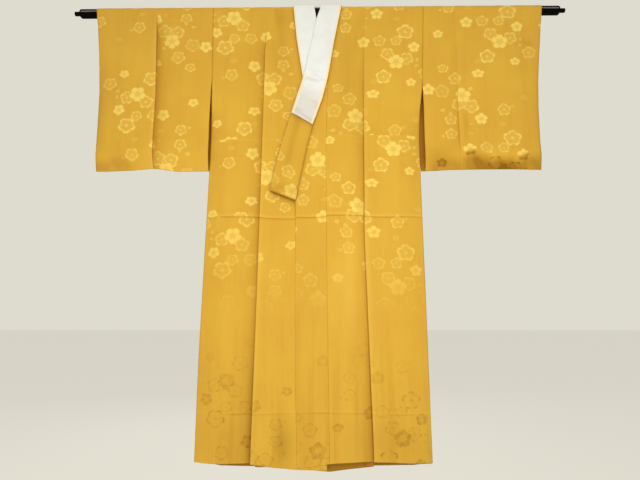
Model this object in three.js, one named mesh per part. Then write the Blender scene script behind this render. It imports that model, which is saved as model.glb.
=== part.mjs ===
// A nagajuban (the robe worn under a kimono) of yellow damask silk, hung by its sleeves on a round rod.
// Millimetres, +Z up. The origin is the middle of the rod's axis, and the garment's front faces -Y.
// Right and left are the wearer's own: the right front lies inside the left one, at negative X.
import * as THREE from 'three';

// Rod
const ROD_RADIUS = 13;
const ROD_HALF = 696;
const ROD_CHAMFER = 5;
const PIN_RADIUS = 6.3;
const PIN_LENGTH = 16;
const ROD_SIDES = 24;

// Cloth and what lies on it
const CLOTH = 1.3;
const GAP = 0.3;
const ROD_CLEARANCE = 0.4;
const CLOTH_REACH = ROD_RADIUS + ROD_CLEARANCE + CLOTH / 2;
const COLLAR = 2;
const WHITE_BAND = 1;
const COLLAR_CLEARANCE = 0.6;
const COLLAR_REACH = CLOTH_REACH + CLOTH / 2 + COLLAR_CLEARANCE + WHITE_BAND + GAP + COLLAR / 2;
const COLLAR_LAP = 11;
const CENTRE = -3;
const LEVELS_OVER_ROD = 8;

// Openings and joins of the cut, as heights below the rod's axis
const ARMHOLE_END = -216;
const SIDE_SEAM_TOP = -370;
const SIDE_CLOSES_FROM = ARMHOLE_END - 24;
const COLLAR_MEETS_PANEL = -212;
const BAND_FOOT = -566;
const BAND_LAP_FADE = 40;
const NEAR_HEM = -1240;
const TUCK = -609;
const TUCK_STEP = 1.2;
const TUCK_FADE = 45;
const SIDE_ROUNDING = 55;
const SLEEVE_ROUNDING = 62;

const table = (names, ...rows) => rows.map(
  (row) => Object.fromEntries(names.map((name, i) => [name, row[i]])),
);

// Straight lines between a table's rows, whose first column rises or falls throughout
function read(rows, at, from = 'z', to = 'x') {
  const falling = rows[0][from] > rows[rows.length - 1][from];
  const passed = (row) => (falling ? row[from] <= at : row[from] >= at);
  const next = rows.findIndex(passed);
  if (next === 0) return rows[0][to];
  if (next < 0) return rows[rows.length - 1][to];
  const a = rows[next - 1];
  const b = rows[next];
  return THREE.MathUtils.mapLinear(at, a[from], b[from], a[to], b[to]);
}

const lerp = THREE.MathUtils.lerp;
const clamp01 = (t) => THREE.MathUtils.clamp(t, 0, 1);
const ease = (t) => THREE.MathUtils.smoothstep(t, 0, 1);

// Body edges where the sleeves, and lower down the side seams, are sewn
const SIDE = {
  right: table(['z', 'x'], [0, -304], [-240, -300], [-460, -301.5], [-606, -305], [-830, -310],
    [-990, -313.5], [-1240, -315]),
  left: table(['z', 'x'], [0, 301.5], [-237, 291], [-308, 283.5], [-395, 280.2], [-608, 282],
    [-806, 284.5], [-1240, 288.5]),
};

// Seams of the long front bands, and the front edges that they end in
const BAND_SEAM = {
  right: table(['z', 'x'], [-212, -42.5], [-806, -41], [-1250, -50]),
  left: table(['z', 'x'], [-212, 26], [-422, 20], [-806, 23], [-1250, 28.5]),
};
const FRONT_EDGE = {
  right: table(['z', 'x'], [-566, 43], [-806, 41], [-1035, 35], [-1255, 16.5]),
  left: table(['z', 'x'], [-566, -61], [-806, -61.3], [-1035, -58.8], [-1250, -53]),
};

// The left arm of the collar: its seam, and the fold that is the open neck's edge
const COLLAR_SEAM = table(['z', 'x'], [1, 65.6], [-101, 45.3], [-210, 27.9], [-274, 12.7], [-353, -15.1],
  [-414, -31.5], [-501, -49.5], [-566, -61]);
const COLLAR_FOLD = table(['z', 'x'], [1, 8.4], [-32, -2.4], [-190, -34.8], [-218, -42], [-319, -73],
  [-414, -101.5], [-490, -119.3], [-540, -130]);
// The right arm mirrors it: the two arms' places add up to this
const ARM_SUM = table(['z', 'sum'], [0, 2 * CENTRE], [-32, -9.5], [-95, -16], [-212, -17]);

// Rows of the collar's arms: the height of the seam and of the fold, and how much the cloth puffs there
const ARM_ROWS = table(['seam', 'fold', 'puff'], [-30, -28, 0], [-66, -60, 0], [-101, -92, 0],
  [-156, -141, 0], [-212, -192, 0], [-283, -255, 0], [-353, -319, 0], [-414, -381, 0], [-475, -444, 0],
  [-525, -499, 0.4], [-552, -527, 1.6], [-566, -540, 1]);
const WHITE_BAND_ROWS = 7;

// Rows of the collar from the left arm's top, over the rod, to the centre of the back
const NECK_ROWS = table(['seamX', 'seamY', 'seamZ', 'foldX', 'foldY', 'foldZ', 'rise'],
  [68.6, -17.9, 1, 9.9, -17.9, 1, 0],
  [69.8, -14.8, 11.2, 11.5, -15.2, 11.5, 0.2],
  [70.6, -8.9, 16.4, 15, -9.5, 17, 0.5],
  [71.4, 0, 18.6, 21, -2, 20.6, 0.8],
  [72.2, 9, 16.3, 28, 4.5, 24, 1.4],
  [72, 15.4, 10.5, 34, 10.5, 27, 2],
  [70, 18.6, 0, 36, 15.2, 29.5, 1.6],
  [60, 18.8, -12, 30, 18.2, 30.8, 0.8],
  [37, 18.9, -19, 17, 18.9, 31.4, 0.3],
  [0, 18.9, -22, 0, 18.9, 31.6, 0]);

// Back of the neck: how far from the centre the panel's edge is at each height
const BACK_NECK = table(['z', 'half'], [0, 60], [-3, 56], [-6, 47], [-9, 36], [-11.5, 22], [-14, GAP / 2]);

// Hems and sleeve bottoms, from negative X to positive
const HEM = {
  right: table(['x', 'z'], [-315, -1239.5], [-241, -1240], [-168, -1239.1], [-115, -1247], [-53, -1252.8],
    [17, -1254.5]),
  left: table(['x', 'z'], [-55, -1247.6], [-20, -1245.6], [10, -1241.5], [30, -1238.4], [142, -1233.3],
    [289, -1238.6]),
  back: table(['x', 'z'], [-315, -1240], [-250, -1252], [-100, -1256], [30, -1266], [140, -1252],
    [240, -1249], [289, -1241]),
};
const CUFF = {
  right: table(['z', 'x'], [0, -643], [-60, -634], [-130, -627], [-250, -619], [-350, -618], [-477, -617.5]),
  left: table(['z', 'x'], [0, 641], [-60, 633], [-130, 626], [-221, 617], [-300, 612.5], [-400, 611],
    [-476, 612.5]),
};
const SLEEVE_INNER = {
  right: table(['z', 'x'], [0, -304 - GAP], [-216, -300.4 - GAP], [-246, -302.6], [-334, -304.4],
    [-477, -305]),
  left: table(['z', 'x'], [0, 301.5 + GAP], [-216, 291.9 + GAP], [-246, 292.2], [-294, 293.9],
    [-395, 293.4], [-483, 295]),
};
const SLEEVE_BOTTOM = {
  right: table(['x', 'z'], [-618, -477], [-588, -477], [-522, -474.6], [-460, -469], [-443, -470.7],
    [-390, -478], [-305, -477]),
  left: table(['x', 'z'], [295, -479], [320, -478], [364, -475.5], [451, -474.3], [537, -474.2],
    [612, -476]),
};

// Creases that the cloth keeps from its storage. Each is a line, from its top to its foot, with a lip that
// stands out on one side (towards +X or -X) and dies away over its reach, and a dip on the other side.
const CREASES = table(
  ['piece', 'face', 'topX', 'topZ', 'midX', 'footX', 'footZ', 'lipSide', 'lip', 'reach', 'dip'],
  ['body', 'front', -149, -20, -158, -169.5, -1300, 1, 4.5, 70, 2.5],
  ['body', 'front', 129, -20, 124.5, 143.5, -1300, 1, 3, 60, 3],
  ['body', 'back', -160, -20, -152, -163, -1300, -1, 3.5, 70, 2.5],
  ['body', 'back', 140, -20, 148, 139, -1300, 1, 4, 60, 2],
  ['sleeve', 'front', -466, -10, -458, -460, -500, -1, 4, 60, 3],
  ['sleeve', 'front', 399, -10, 398, 396, -500, 1, 2.5, 50, 2.5],
  ['sleeve', 'back', -452, -10, -456, -459, -500, 1, 2.5, 50, 2],
  ['sleeve', 'back', 447, -10, 452, 449, -500, -1, 3, 50, 2],
);
const CREASE_SOFTNESS = 5;
const CREASE_TOP = -4;
const CREASE_GROWTH = 60;
const DIP_REACH = 22;

function creaseX(crease, z) {
  const t = clamp01((crease.topZ - z) / (crease.topZ - crease.footZ));
  return t < 0.5 ? lerp(crease.topX, crease.midX, t * 2) : lerp(crease.midX, crease.footX, t * 2 - 1);
}

// How far the creases move the cloth away from the rod's plane, which is nothing at the rod itself
function creaseDepth(piece, face, x, z) {
  const worn = ease(clamp01((CREASE_TOP - z) / CREASE_GROWTH));
  return worn * CREASES.filter((crease) => crease.piece === piece && crease.face === face)
    .reduce((sum, crease) => {
      const across = (x - creaseX(crease, z)) * crease.lipSide;
      const step = ease(clamp01(across / CREASE_SOFTNESS + 0.5));
      const lip = crease.lip * Math.exp(-Math.max(across, 0) / crease.reach);
      const dip = crease.dip * Math.exp(Math.min(across, 0) / DIP_REACH);
      return sum + lerp(-dip, lip, step);
    }, 0);
}

const rightArmX = (z, leftX) => read(ARM_SUM, z, 'z', 'sum') - leftX;

// How far the left front stands off what lies under it, how far beyond the edge it starts, and how it fades
// across and down: over the collar's right arm, and lower down over the right front's edge
const OVER_COLLAR = { lift: 7, fade: 50, growth: 30, end: -650, ending: 80 };
const OVER_FRONT = { lift: 2, fade: 24, top: -150, growth: 60 };
const LIFT_MARGIN = 8;

function liftOverRightSide(x, z) {
  const armEdge = rightArmX(z, read(COLLAR_FOLD, z)) + LIFT_MARGIN;
  const frontEdge = read(FRONT_EDGE.right, z) + LIFT_MARGIN;
  const byFront = OVER_FRONT.lift * ease(clamp01(1 - (x - frontEdge) / OVER_FRONT.fade))
    * ease(clamp01((OVER_FRONT.top - z) / OVER_FRONT.growth));
  const fadeX = ease(clamp01(1 - (x - armEdge) / OVER_COLLAR.fade));
  const fadeZ = ease(clamp01(-z / OVER_COLLAR.growth))
    * ease(clamp01((z - OVER_COLLAR.end) / OVER_COLLAR.ending));
  return byFront + (OVER_COLLAR.lift - byFront) * fadeX * fadeZ;
}

// Depth of the tuck: the cloth above the waist seam stands a little proud of the cloth below it
function tuckDepth(z) {
  const above = z - TUCK;
  return above > 0 ? TUCK_STEP * Math.exp(-above / TUCK_FADE) : 0;
}

// Distance of the body cloth from the rod's plane. Below the side opening the sheets close at the side seam.
function bodyDepth(side, face, x, z) {
  const closed = ease(clamp01((SIDE_CLOSES_FROM - z) / (SIDE_CLOSES_FROM - SIDE_SEAM_TOP)));
  const inward = clamp01(Math.abs(x - read(SIDE[side], z)) / SIDE_ROUNDING);
  const seam = CLOTH / 2 + GAP / 2;
  const open = lerp(1, Math.sin(inward * Math.PI / 2), closed);
  const lift = face === 'front' && side === 'left' ? liftOverRightSide(x, z) : 0;
  const relief = (creaseDepth('body', face, x, z) + tuckDepth(z)) * lerp(1, inward, closed);
  return seam + (CLOTH_REACH - seam) * open + relief + lift;
}

function sleeveDepth(side, face, x, z) {
  const above = z - read(SLEEVE_BOTTOM[side], x, 'x', 'z');
  const open = Math.sin(clamp01(above / SLEEVE_ROUNDING) * Math.PI / 2);
  const seam = CLOTH / 2 + GAP / 2;
  return seam + (CLOTH_REACH - seam) * open + creaseDepth('sleeve', face, x, z) * open;
}

// A closed wall from a grid of points on its inner and its outer face. From the column crossedFrom on, its
// four-sided cells are split along their other diagonal.
function wall(rows, columns, innerAt, outerAt, crossedFrom = columns) {
  const positions = [];
  const index = [];
  for (let j = 0; j < rows; j += 1) {
    for (let i = 0; i < columns; i += 1) positions.push(...innerAt(j, i));
  }
  for (let j = 0; j < rows; j += 1) {
    for (let i = 0; i < columns; i += 1) positions.push(...outerAt(j, i));
  }
  const inner = (j, i) => j * columns + i;
  const outer = (j, i) => rows * columns + inner(j, i);
  const quad = (a, b, c, d) => index.push(a, b, c, a, c, d);
  for (let j = 0; j + 1 < rows; j += 1) {
    for (let i = 0; i + 1 < columns; i += 1) {
      if (i < crossedFrom) {
        quad(outer(j, i), outer(j, i + 1), outer(j + 1, i + 1), outer(j + 1, i));
        quad(inner(j, i), inner(j + 1, i), inner(j + 1, i + 1), inner(j, i + 1));
      } else {
        quad(outer(j, i + 1), outer(j + 1, i + 1), outer(j + 1, i), outer(j, i));
        quad(inner(j + 1, i), inner(j + 1, i + 1), inner(j, i + 1), inner(j, i));
      }
    }
    quad(inner(j, 0), outer(j, 0), outer(j + 1, 0), inner(j + 1, 0));
    const last = columns - 1;
    quad(inner(j, last), inner(j + 1, last), outer(j + 1, last), outer(j, last));
  }
  for (let i = 0; i + 1 < columns; i += 1) {
    const last = rows - 1;
    quad(inner(0, i), inner(0, i + 1), outer(0, i + 1), outer(0, i));
    quad(inner(last, i), outer(last, i), outer(last, i + 1), inner(last, i + 1));
  }
  const geometry = new THREE.BufferGeometry();
  geometry.setAttribute('position', new THREE.Float32BufferAttribute(positions, 3));
  geometry.setIndex(signedVolume(positions, index) < 0 ? index.reverse() : index);
  geometry.computeVertexNormals();
  return geometry;
}

function signedVolume(positions, index) {
  const corner = (i) => new THREE.Vector3().fromArray(positions, index[i] * 3);
  let sum = 0;
  for (let i = 0; i < index.length; i += 3) sum += corner(i).dot(corner(i + 1).cross(corner(i + 2)));
  return sum;
}

// Rows of a cloth that goes up the front, over the rod and down the back. A null height is the hem's.
function rowsOverRod(frontLevels, backLevels) {
  const front = [null, ...frontLevels].map((z) => ({ face: 'front', z }));
  const over = Array.from({ length: LEVELS_OVER_ROD - 1 }, (_, i) => (
    { face: 'over', z: 0, turn: Math.PI * (i + 1) / LEVELS_OVER_ROD }));
  const back = [...backLevels, null].map((z) => ({ face: 'back', z }));
  return [...front, ...over, ...back];
}

// One point of such a cloth, moved out from its middle by an offset
function clothPoint(row, x, z, depth, offset) {
  if (row.face === 'over') {
    const reach = CLOTH_REACH + offset;
    return [x, -reach * Math.cos(row.turn), reach * Math.sin(row.turn)];
  }
  return [x, (depth + offset) * (row.face === 'front' ? -1 : 1), z];
}

function clothOverRod(rows, columns, xAt, endAt, depthAt) {
  const point = (offset) => (j, i) => {
    const row = rows[j];
    const nearEnd = row.z === null;
    const guess = nearEnd ? xAt(row, i, endAt(row, xAt(row, i, NEAR_HEM))) : 0;
    const z = nearEnd ? endAt(row, guess) : row.z;
    const x = xAt(row, i, z);
    return clothPoint(row, x, z, row.face === 'over' ? 0 : depthAt(row, x, z), offset);
  };
  return wall(rows.length, columns, point(-CLOTH / 2), point(CLOTH / 2));
}

// Body panels: front and back in one length of cloth, from hem to hem over the rod
const BODY_FRONT_LEVELS = [-1180, -1122, -1060, -960, -860, -760, -670, TUCK - 3, TUCK + 1, -560, -480, -400,
  -330, -270, COLLAR_MEETS_PANEL, -204, -156, -101, -60, -28, 0];
const BODY_BACK_LEVELS = [0, -3, -6, -9, -11.5, -14, -40, -100, -200, -300, -370, -450, -550, TUCK + 1,
  TUCK - 3, -720, -900, -1080, -1180];

// Columns from the side edge, past the crease, to the inner edge
const BODY_COLUMNS = table(['from', 'to', 'share'], ['side', 'crease', 0], ['side', 'crease', 0.1],
  ['side', 'crease', 0.28], ['side', 'crease', 0.6], ['side', 'crease', 0.98], ['crease', 'inner', 0.03],
  ['crease', 'inner', 0.25], ['crease', 'inner', 0.5], ['crease', 'inner', 0.75], ['crease', 'inner', 1]);

function bodyInnerX(side, row, z) {
  const mirror = side === 'right';
  const seamUnderCollar = (level) => {
    const leftX = read(COLLAR_SEAM, level);
    return mirror ? rightArmX(level, leftX) + COLLAR_LAP : leftX - COLLAR_LAP;
  };
  const away = mirror ? -1 : 1;
  if (row.face === 'over') return CENTRE + away * BACK_NECK[0].half;
  if (row.face === 'back') return CENTRE + away * read(BACK_NECK, z, 'z', 'half');
  if (z > COLLAR_MEETS_PANEL + 1) return seamUnderCollar(z);
  return read(BAND_SEAM[side], z) + away * GAP / 2;
}

function bodyPanel(side) {
  const creaseAt = Object.fromEntries(['front', 'back'].map((face) => [face, CREASES.find(
    (crease) => crease.piece === 'body' && crease.face === face && (crease.topX < 0) === (side === 'right'),
  )]));
  const xAt = (row, i, z) => {
    const column = BODY_COLUMNS[i];
    const line = (name) => {
      if (name === 'side') return read(SIDE[side], z);
      if (name === 'inner') return bodyInnerX(side, row, z);
      const share = row.face === 'over' ? row.turn / Math.PI : Number(row.face === 'back');
      return lerp(creaseX(creaseAt.front, z), creaseX(creaseAt.back, z), share);
    };
    return lerp(line(column.from), line(column.to), column.share);
  };
  const endAt = (row, x) => read(HEM[row.face === 'back' ? 'back' : side], x, 'x', 'z');
  const depthAt = (row, x, z) => bodyDepth(side, row.face, x, z);
  return clothOverRod(rowsOverRod(BODY_FRONT_LEVELS, BODY_BACK_LEVELS), BODY_COLUMNS.length, xAt, endAt,
    depthAt);
}

// Sleeves: front and back in one length of cloth, sewn along the bottom only
const SLEEVE_FRONT_LEVELS = [-466, -454, -436, -400, -330, -246, ARMHOLE_END, -130, -60, 0];
const SLEEVE_BACK_LEVELS = [0, -60, ARMHOLE_END, -246, -400, -436, -454, -466];
const SLEEVE_SHARES = [0, 0.25, 0.5, 0.97, 1.03, 1.35, 1.65, 2];

function sleeve(side) {
  const creaseAt = Object.fromEntries(['front', 'back'].map((face) => [face, CREASES.find(
    (crease) => crease.piece === 'sleeve' && crease.face === face && (crease.topX < 0) === (side === 'right'),
  )]));
  const xAt = (row, i, z) => {
    const cuff = read(CUFF[side], z);
    const inner = read(SLEEVE_INNER[side], z);
    const share = row.face === 'over' ? row.turn / Math.PI : Number(row.face === 'back');
    const crease = lerp(creaseX(creaseAt.front, z), creaseX(creaseAt.back, z), share);
    const t = SLEEVE_SHARES[i];
    return t < 1 ? lerp(cuff, crease, t) : lerp(crease, inner, t - 1);
  };
  const endAt = (row, x) => read(SLEEVE_BOTTOM[side], x, 'x', 'z');
  const depthAt = (row, x, z) => sleeveDepth(side, row.face, x, z);
  return clothOverRod(rowsOverRod(SLEEVE_FRONT_LEVELS, SLEEVE_BACK_LEVELS), SLEEVE_SHARES.length, xAt, endAt,
    depthAt);
}

// The long front bands, from a point under the collar's seam down to the hem
const BAND_LEVELS = [-1180, -1122, -1060, -960, -860, -760, -670, TUCK - 3, TUCK + 1, BAND_FOOT, -525, -480,
  -430, -380, -330, -280, -240, COLLAR_MEETS_PANEL - 0.6];

function frontBand(side) {
  const away = side === 'right' ? -1 : 1;
  const outerEdge = (z) => {
    if (z <= BAND_FOOT) return read(FRONT_EDGE[side], z);
    const leftX = read(COLLAR_SEAM, z);
    const atSeam = side === 'right' ? rightArmX(z, leftX) : leftX;
    return atSeam - away * COLLAR_LAP * clamp01((z - BAND_FOOT) / BAND_LAP_FADE);
  };
  const rows = [null, ...BAND_LEVELS];
  const columns = 4;
  const point = (offset) => (j, i) => {
    const share = i / (columns - 1);
    const xAt = (z) => lerp(read(BAND_SEAM[side], z) - away * GAP / 2, outerEdge(z), share);
    const z = rows[j] ?? read(HEM[side], xAt(NEAR_HEM), 'x', 'z');
    const x = xAt(z);
    return [x, -(bodyDepth(side, 'front', x, z) + offset), z];
  };
  return wall(rows.length, columns, point(-CLOTH / 2), point(CLOTH / 2));
}

// The collar as rows from the left arm's foot, round the neck, to the right arm's foot
function collarRows() {
  const armRow = (right) => ({ seam, fold, puff }) => ({
    puff,
    at: (u) => {
      const z = lerp(seam, fold, u);
      const leftX = lerp(read(COLLAR_SEAM, seam), read(COLLAR_FOLD, fold), u);
      const x = right ? rightArmX(z, leftX) : leftX;
      const lift = right ? 0 : liftOverRightSide(x, z);
      return new THREE.Vector3(x, -(COLLAR_REACH + lift + creaseDepth('body', 'front', x, z)), z);
    },
  });
  const neckRow = (away) => (row) => ({
    puff: 0,
    at: (u) => {
      const seam = new THREE.Vector3(CENTRE + away * row.seamX, row.seamY, row.seamZ);
      const fold = new THREE.Vector3(CENTRE + away * row.foldX, row.foldY, row.foldZ);
      const middle = seam.clone().lerp(fold, u);
      const out = new THREE.Vector3(0, middle.y, middle.z).normalize();
      return middle.addScaledVector(out, row.rise * Math.sin(u * Math.PI));
    },
  });
  const leftArm = ARM_ROWS.map(armRow(false)).reverse();
  const rightArm = ARM_ROWS.map(armRow(true));
  const leftNeck = NECK_ROWS.map(neckRow(1));
  const rightNeck = NECK_ROWS.slice(0, -1).map(neckRow(-1)).reverse();
  return [...leftArm, ...leftNeck, ...rightNeck, ...rightArm];
}

// Frames on the collar's middle surface: the point, the way out of it and the way towards the fold
function collarFrames(rows) {
  const step = 0.02;
  return (j, u) => {
    const before = rows[Math.max(j - 1, 0)].at(u);
    const after = rows[Math.min(j + 1, rows.length - 1)].at(u);
    const along = after.sub(before).normalize();
    const low = Math.max(u - step, 0);
    const across = rows[j].at(Math.min(u + step, 1)).sub(rows[j].at(low)).normalize();
    const out = new THREE.Vector3().crossVectors(along, across).normalize();
    return { point: rows[j].at(u), out, across };
  };
}

const COLLAR_SHARES = [0, 0.03, 0.25, 0.5, 0.75, 1];

function collar(rows, frames) {
  const point = (side) => (j, i) => {
    const { point: middle, out } = frames(j, COLLAR_SHARES[i]);
    const puff = side > 0 ? rows[j].puff : 0;
    return middle.addScaledVector(out, side * COLLAR / 2 + puff).toArray();
  };
  return wall(rows.length, COLLAR_SHARES.length, point(-1), point(1));
}

// The white band: over the collar's face, round its fold and down its inside
const BAND_SHARES = table(['u', 'turn'], [0.03, 0], [0.25, 0], [0.5, 0], [0.75, 0], [1, 0], [1, 0.25],
  [1, 0.5], [1, 0.75], [1, 1], [0.75, 1], [0.5, 1], [0.25, 1]);

function whiteBand(rows, frames) {
  const first = ARM_ROWS.length - WHITE_BAND_ROWS;
  const count = rows.length - 2 * first;
  const middleReach = COLLAR / 2 + GAP + WHITE_BAND / 2;
  const point = (side) => (j, i) => {
    const { u, turn } = BAND_SHARES[i];
    const { point: middle, out, across } = frames(first + j, u);
    const reach = middleReach + side * WHITE_BAND / 2;
    const angle = turn * Math.PI;
    return middle.addScaledVector(out, reach * Math.cos(angle))
      .addScaledVector(across, reach * Math.sin(angle)).toArray();
  };
  const insideFrom = BAND_SHARES.findIndex(({ turn }) => turn === 1);
  return wall(count, BAND_SHARES.length, point(-1), point(1), insideFrom);
}

// Rod with bevelled ends and a thinner pin at each end
function rod() {
  const half = table(['radius', 'along'], [0, ROD_HALF + PIN_LENGTH], [PIN_RADIUS, ROD_HALF + PIN_LENGTH],
    [PIN_RADIUS, ROD_HALF], [ROD_RADIUS - ROD_CHAMFER, ROD_HALF], [ROD_RADIUS, ROD_HALF - ROD_CHAMFER]);
  const lower = half.map(({ radius, along }) => new THREE.Vector2(radius, -along));
  const upper = half.map(({ radius, along }) => new THREE.Vector2(radius, along)).reverse();
  return new THREE.LatheGeometry([...lower, ...upper], ROD_SIDES).rotateZ(-Math.PI / 2);
}

const silk = () => new THREE.MeshStandardMaterial({ color: 0xdeaf3f, roughness: 0.55 });
const whiteCloth = () => new THREE.MeshStandardMaterial({ color: 0xf0f0e6, roughness: 0.7 });
const blackGloss = () => new THREE.MeshStandardMaterial({ color: 0x14120e, roughness: 0.25, metalness: 0.1 });

function named(name, geometry, material) {
  const mesh = new THREE.Mesh(geometry, material);
  mesh.name = name;
  return mesh;
}

const nagajuban = new THREE.Group();
nagajuban.add(named('rod', rod(), blackGloss()));
for (const side of ['right', 'left']) {
  nagajuban.add(named(`body_${side}`, bodyPanel(side), silk()));
  nagajuban.add(named(`sleeve_${side}`, sleeve(side), silk()));
  nagajuban.add(named(`front_band_${side}`, frontBand(side), silk()));
}
const rows = collarRows();
const frames = collarFrames(rows);
nagajuban.add(named('collar', collar(rows, frames), silk()));
nagajuban.add(named('white_collar_cover', whiteBand(rows, frames), whiteCloth()));

export default nagajuban;
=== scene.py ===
"""The looks of a nagajuban, the robe worn under a kimono, hung by its sleeves on a black rod.

Sizes are millimetres in the row frame, and MM turns them into metres. The origin is the middle of the
rod's axis, the garment's front faces -Y, and right and left are the wearer's own.
"""

import math

import bpy
import numpy as np
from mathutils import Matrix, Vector


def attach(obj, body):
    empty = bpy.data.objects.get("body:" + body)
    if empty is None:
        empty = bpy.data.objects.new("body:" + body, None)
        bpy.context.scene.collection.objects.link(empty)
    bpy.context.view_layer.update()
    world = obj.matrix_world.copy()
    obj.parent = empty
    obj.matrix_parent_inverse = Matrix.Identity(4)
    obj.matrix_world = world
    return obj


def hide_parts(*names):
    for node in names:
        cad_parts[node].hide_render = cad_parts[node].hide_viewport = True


MM = 0.001

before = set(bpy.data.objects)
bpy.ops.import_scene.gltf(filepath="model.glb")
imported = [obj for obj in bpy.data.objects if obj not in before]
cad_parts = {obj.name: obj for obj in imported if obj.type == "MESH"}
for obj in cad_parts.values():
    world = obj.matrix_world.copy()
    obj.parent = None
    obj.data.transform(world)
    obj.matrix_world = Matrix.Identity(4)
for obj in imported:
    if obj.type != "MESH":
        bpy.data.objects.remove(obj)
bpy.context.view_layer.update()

# Tables and curves


def table(names, *rows):
    """Columns of a short table, by name."""
    return dict(zip(names.split(), np.array(rows, float).T))


def read(rows, at, key="z", value="x"):
    """Straight lines between the rows of a table whose first column rises or falls throughout."""
    keys, values = rows[key], rows[value]
    if keys[0] > keys[-1]:
        keys, values = keys[::-1], values[::-1]
    return np.interp(at, keys, values)


def clamp(t):
    return np.clip(t, 0, 1)


def ease(t):
    t = clamp(t)
    return t * t * (3 - 2 * t)


def blend(a, b, t):
    return a + (b - a) * t


def rise(value, start, over):
    """0 up to a start and 1 from a distance past it. A negative distance runs downwards."""
    return ease((value - start) / over)


def near(distance, height, reach):
    """A height on a line, which fades to both sides."""
    return height * np.exp(-np.abs(distance) / reach)


def beyond(distance, height, reach):
    """A height that holds up to a line and fades past it."""
    return near(np.maximum(distance, 0), height, reach)


def hump(distance, height, reach):
    """A height on a line, with a round top and smooth sides."""
    return height * np.exp(-((distance / reach) ** 2))


# Sizes

ROD_RADIUS = 13
ROD_HALF = 696
ROD_ROUNDING = 5
PIN_RADIUS = 6.3
PIN_LENGTH = 16
PIN_BEVEL = 0.8
SILK = 0.7
WHITE_CLOTH = 0.8
REACH = 14.05
COLLAR_REACH = 17.6
GAP = 0.3
SEAM_DEPTH = 0.8
CENTRE = -3

SIDE_CLOSES_FROM = -240
SIDE_SEAM_TOP = -370
COLLAR_MEETS_PANEL = -212
BAND_FOOT = -566
TUCK = -609
INNER_TUCK = {"right": -391, "left": -381}
STORAGE_FOLD = -442
HEM_FACING = -1116
FACING_SLOPE = 0.02
SIDE_ROUNDING = 55
SLEEVE_ROUNDING = 62
COLLAR_LAP = 11
EDGE_MARGIN = 8
LIFT_OVER_FRONT = 2
LIFT_OVER_ARM = 7
WAVES_FROM = -6
WAVES_FADE = 70

# How far the cloth turns in at a seam or an edge, and over what width
TURNED_EDGE = (1.1, 2.2)

# The way from the garment's middle to its side
AWAY = {"right": -1, "left": 1}

SIDE = {
    "right": table("z x", (0, -304), (-240, -300), (-460, -301.5), (-606, -305), (-830, -310), (-990, -313.5),
                   (-1240, -315)),
    "left": table("z x", (0, 301.5), (-237, 291), (-308, 283.5), (-395, 280.2), (-608, 282), (-806, 284.5),
                  (-1240, 288.5)),
}
BAND_SEAM = {
    "right": table("z x", (-212, -42.5), (-806, -41), (-1250, -50)),
    "left": table("z x", (-212, 26), (-422, 20), (-806, 23), (-1250, 28.5)),
}
FRONT_EDGE = {
    "right": table("z x", (-566, 43), (-806, 41), (-1035, 35), (-1255, 16.5)),
    "left": table("z x", (-566, -61), (-806, -61.3), (-1035, -58.8), (-1250, -53)),
}
COLLAR_SEAM = table("z x", (1, 65.6), (-101, 45.3), (-210, 27.9), (-274, 12.7), (-353, -15.1), (-414, -31.5),
                    (-501, -49.5), (-566, -61))
COLLAR_FOLD = table("z x", (1, 8.4), (-32, -2.4), (-190, -34.8), (-218, -42), (-319, -73), (-414, -101.5),
                    (-490, -119.3), (-540, -130))
ARM_SUM = table("z sum", (0, 2 * CENTRE), (-32, -9.5), (-95, -16), (-212, -17))
ARM_ROWS = table("step seam fold puff", (0, -30, -28, 0), (1, -66, -60, 0), (2, -101, -92, 0),
                 (3, -156, -141, 0), (4, -212, -192, 0), (5, -283, -255, 0), (6, -353, -319, 0),
                 (7, -414, -381, 0), (8, -475, -444, 0.3), (9, -525, -499, 1.6), (10, -552, -527, 3.4),
                 (11, -566, -540, 1.6))
WHITE_STEPS = 6
COLLAR_STEPS = 11
NECK_ROWS = table("seamX seamY seamZ foldX foldY foldZ rise",
                  (68.6, -17.9, 1, 9.9, -17.9, 1, 0), (69.8, -14.6, 9.6, 11.5, -15, 9.8, 0.2),
                  (70.6, -8.7, 14, 15, -9.2, 14.4, 0.5), (71.4, 0, 16.1, 21, -2, 17.4, 0.8),
                  (72.2, 9, 14.2, 28, 4.5, 20.4, 1.4), (72, 15.4, 9.4, 34, 10.5, 24.4, 2),
                  (70, 18.6, 0, 36, 15.2, 29.5, 1.6), (60, 18.8, -12, 30, 18.2, 30.8, 0.8),
                  (37, 18.9, -19, 17, 18.9, 31.4, 0.3), (0, 18.9, -22, 0, 18.9, 31.6, 0))
BACK_NECK = table("z half", (0, 60), (-3, 56), (-6, 47), (-9, 36), (-11.5, 22), (-14, GAP / 2))
HEM = {
    "right": table("x z", (-315, -1239.5), (-241, -1240), (-168, -1239.1), (-115, -1247), (-53, -1252.8),
                   (17, -1254.5)),
    "left": table("x z", (-55, -1247.6), (-20, -1245.6), (10, -1241.5), (30, -1238.4), (142, -1233.3),
                  (289, -1238.6)),
    "back": table("x z", (-315, -1240), (-250, -1252), (-100, -1256), (30, -1266), (140, -1252),
                  (240, -1249), (289, -1241)),
}
CUFF = {
    "right": table("z x", (0, -643), (-60, -634), (-130, -627), (-250, -619), (-350, -618), (-477, -617.5)),
    "left": table("z x", (0, 641), (-60, 633), (-130, 626), (-221, 617), (-300, 612.5), (-400, 611),
                  (-476, 612.5)),
}
SLEEVE_INNER = {
    "right": table("z x", (0, -304.3), (-216, -300.7), (-246, -302.6), (-334, -304.4), (-477, -305)),
    "left": table("z x", (0, 301.8), (-216, 292.2), (-246, 292.2), (-294, 293.9), (-395, 293.4), (-483, 295)),
}
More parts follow.
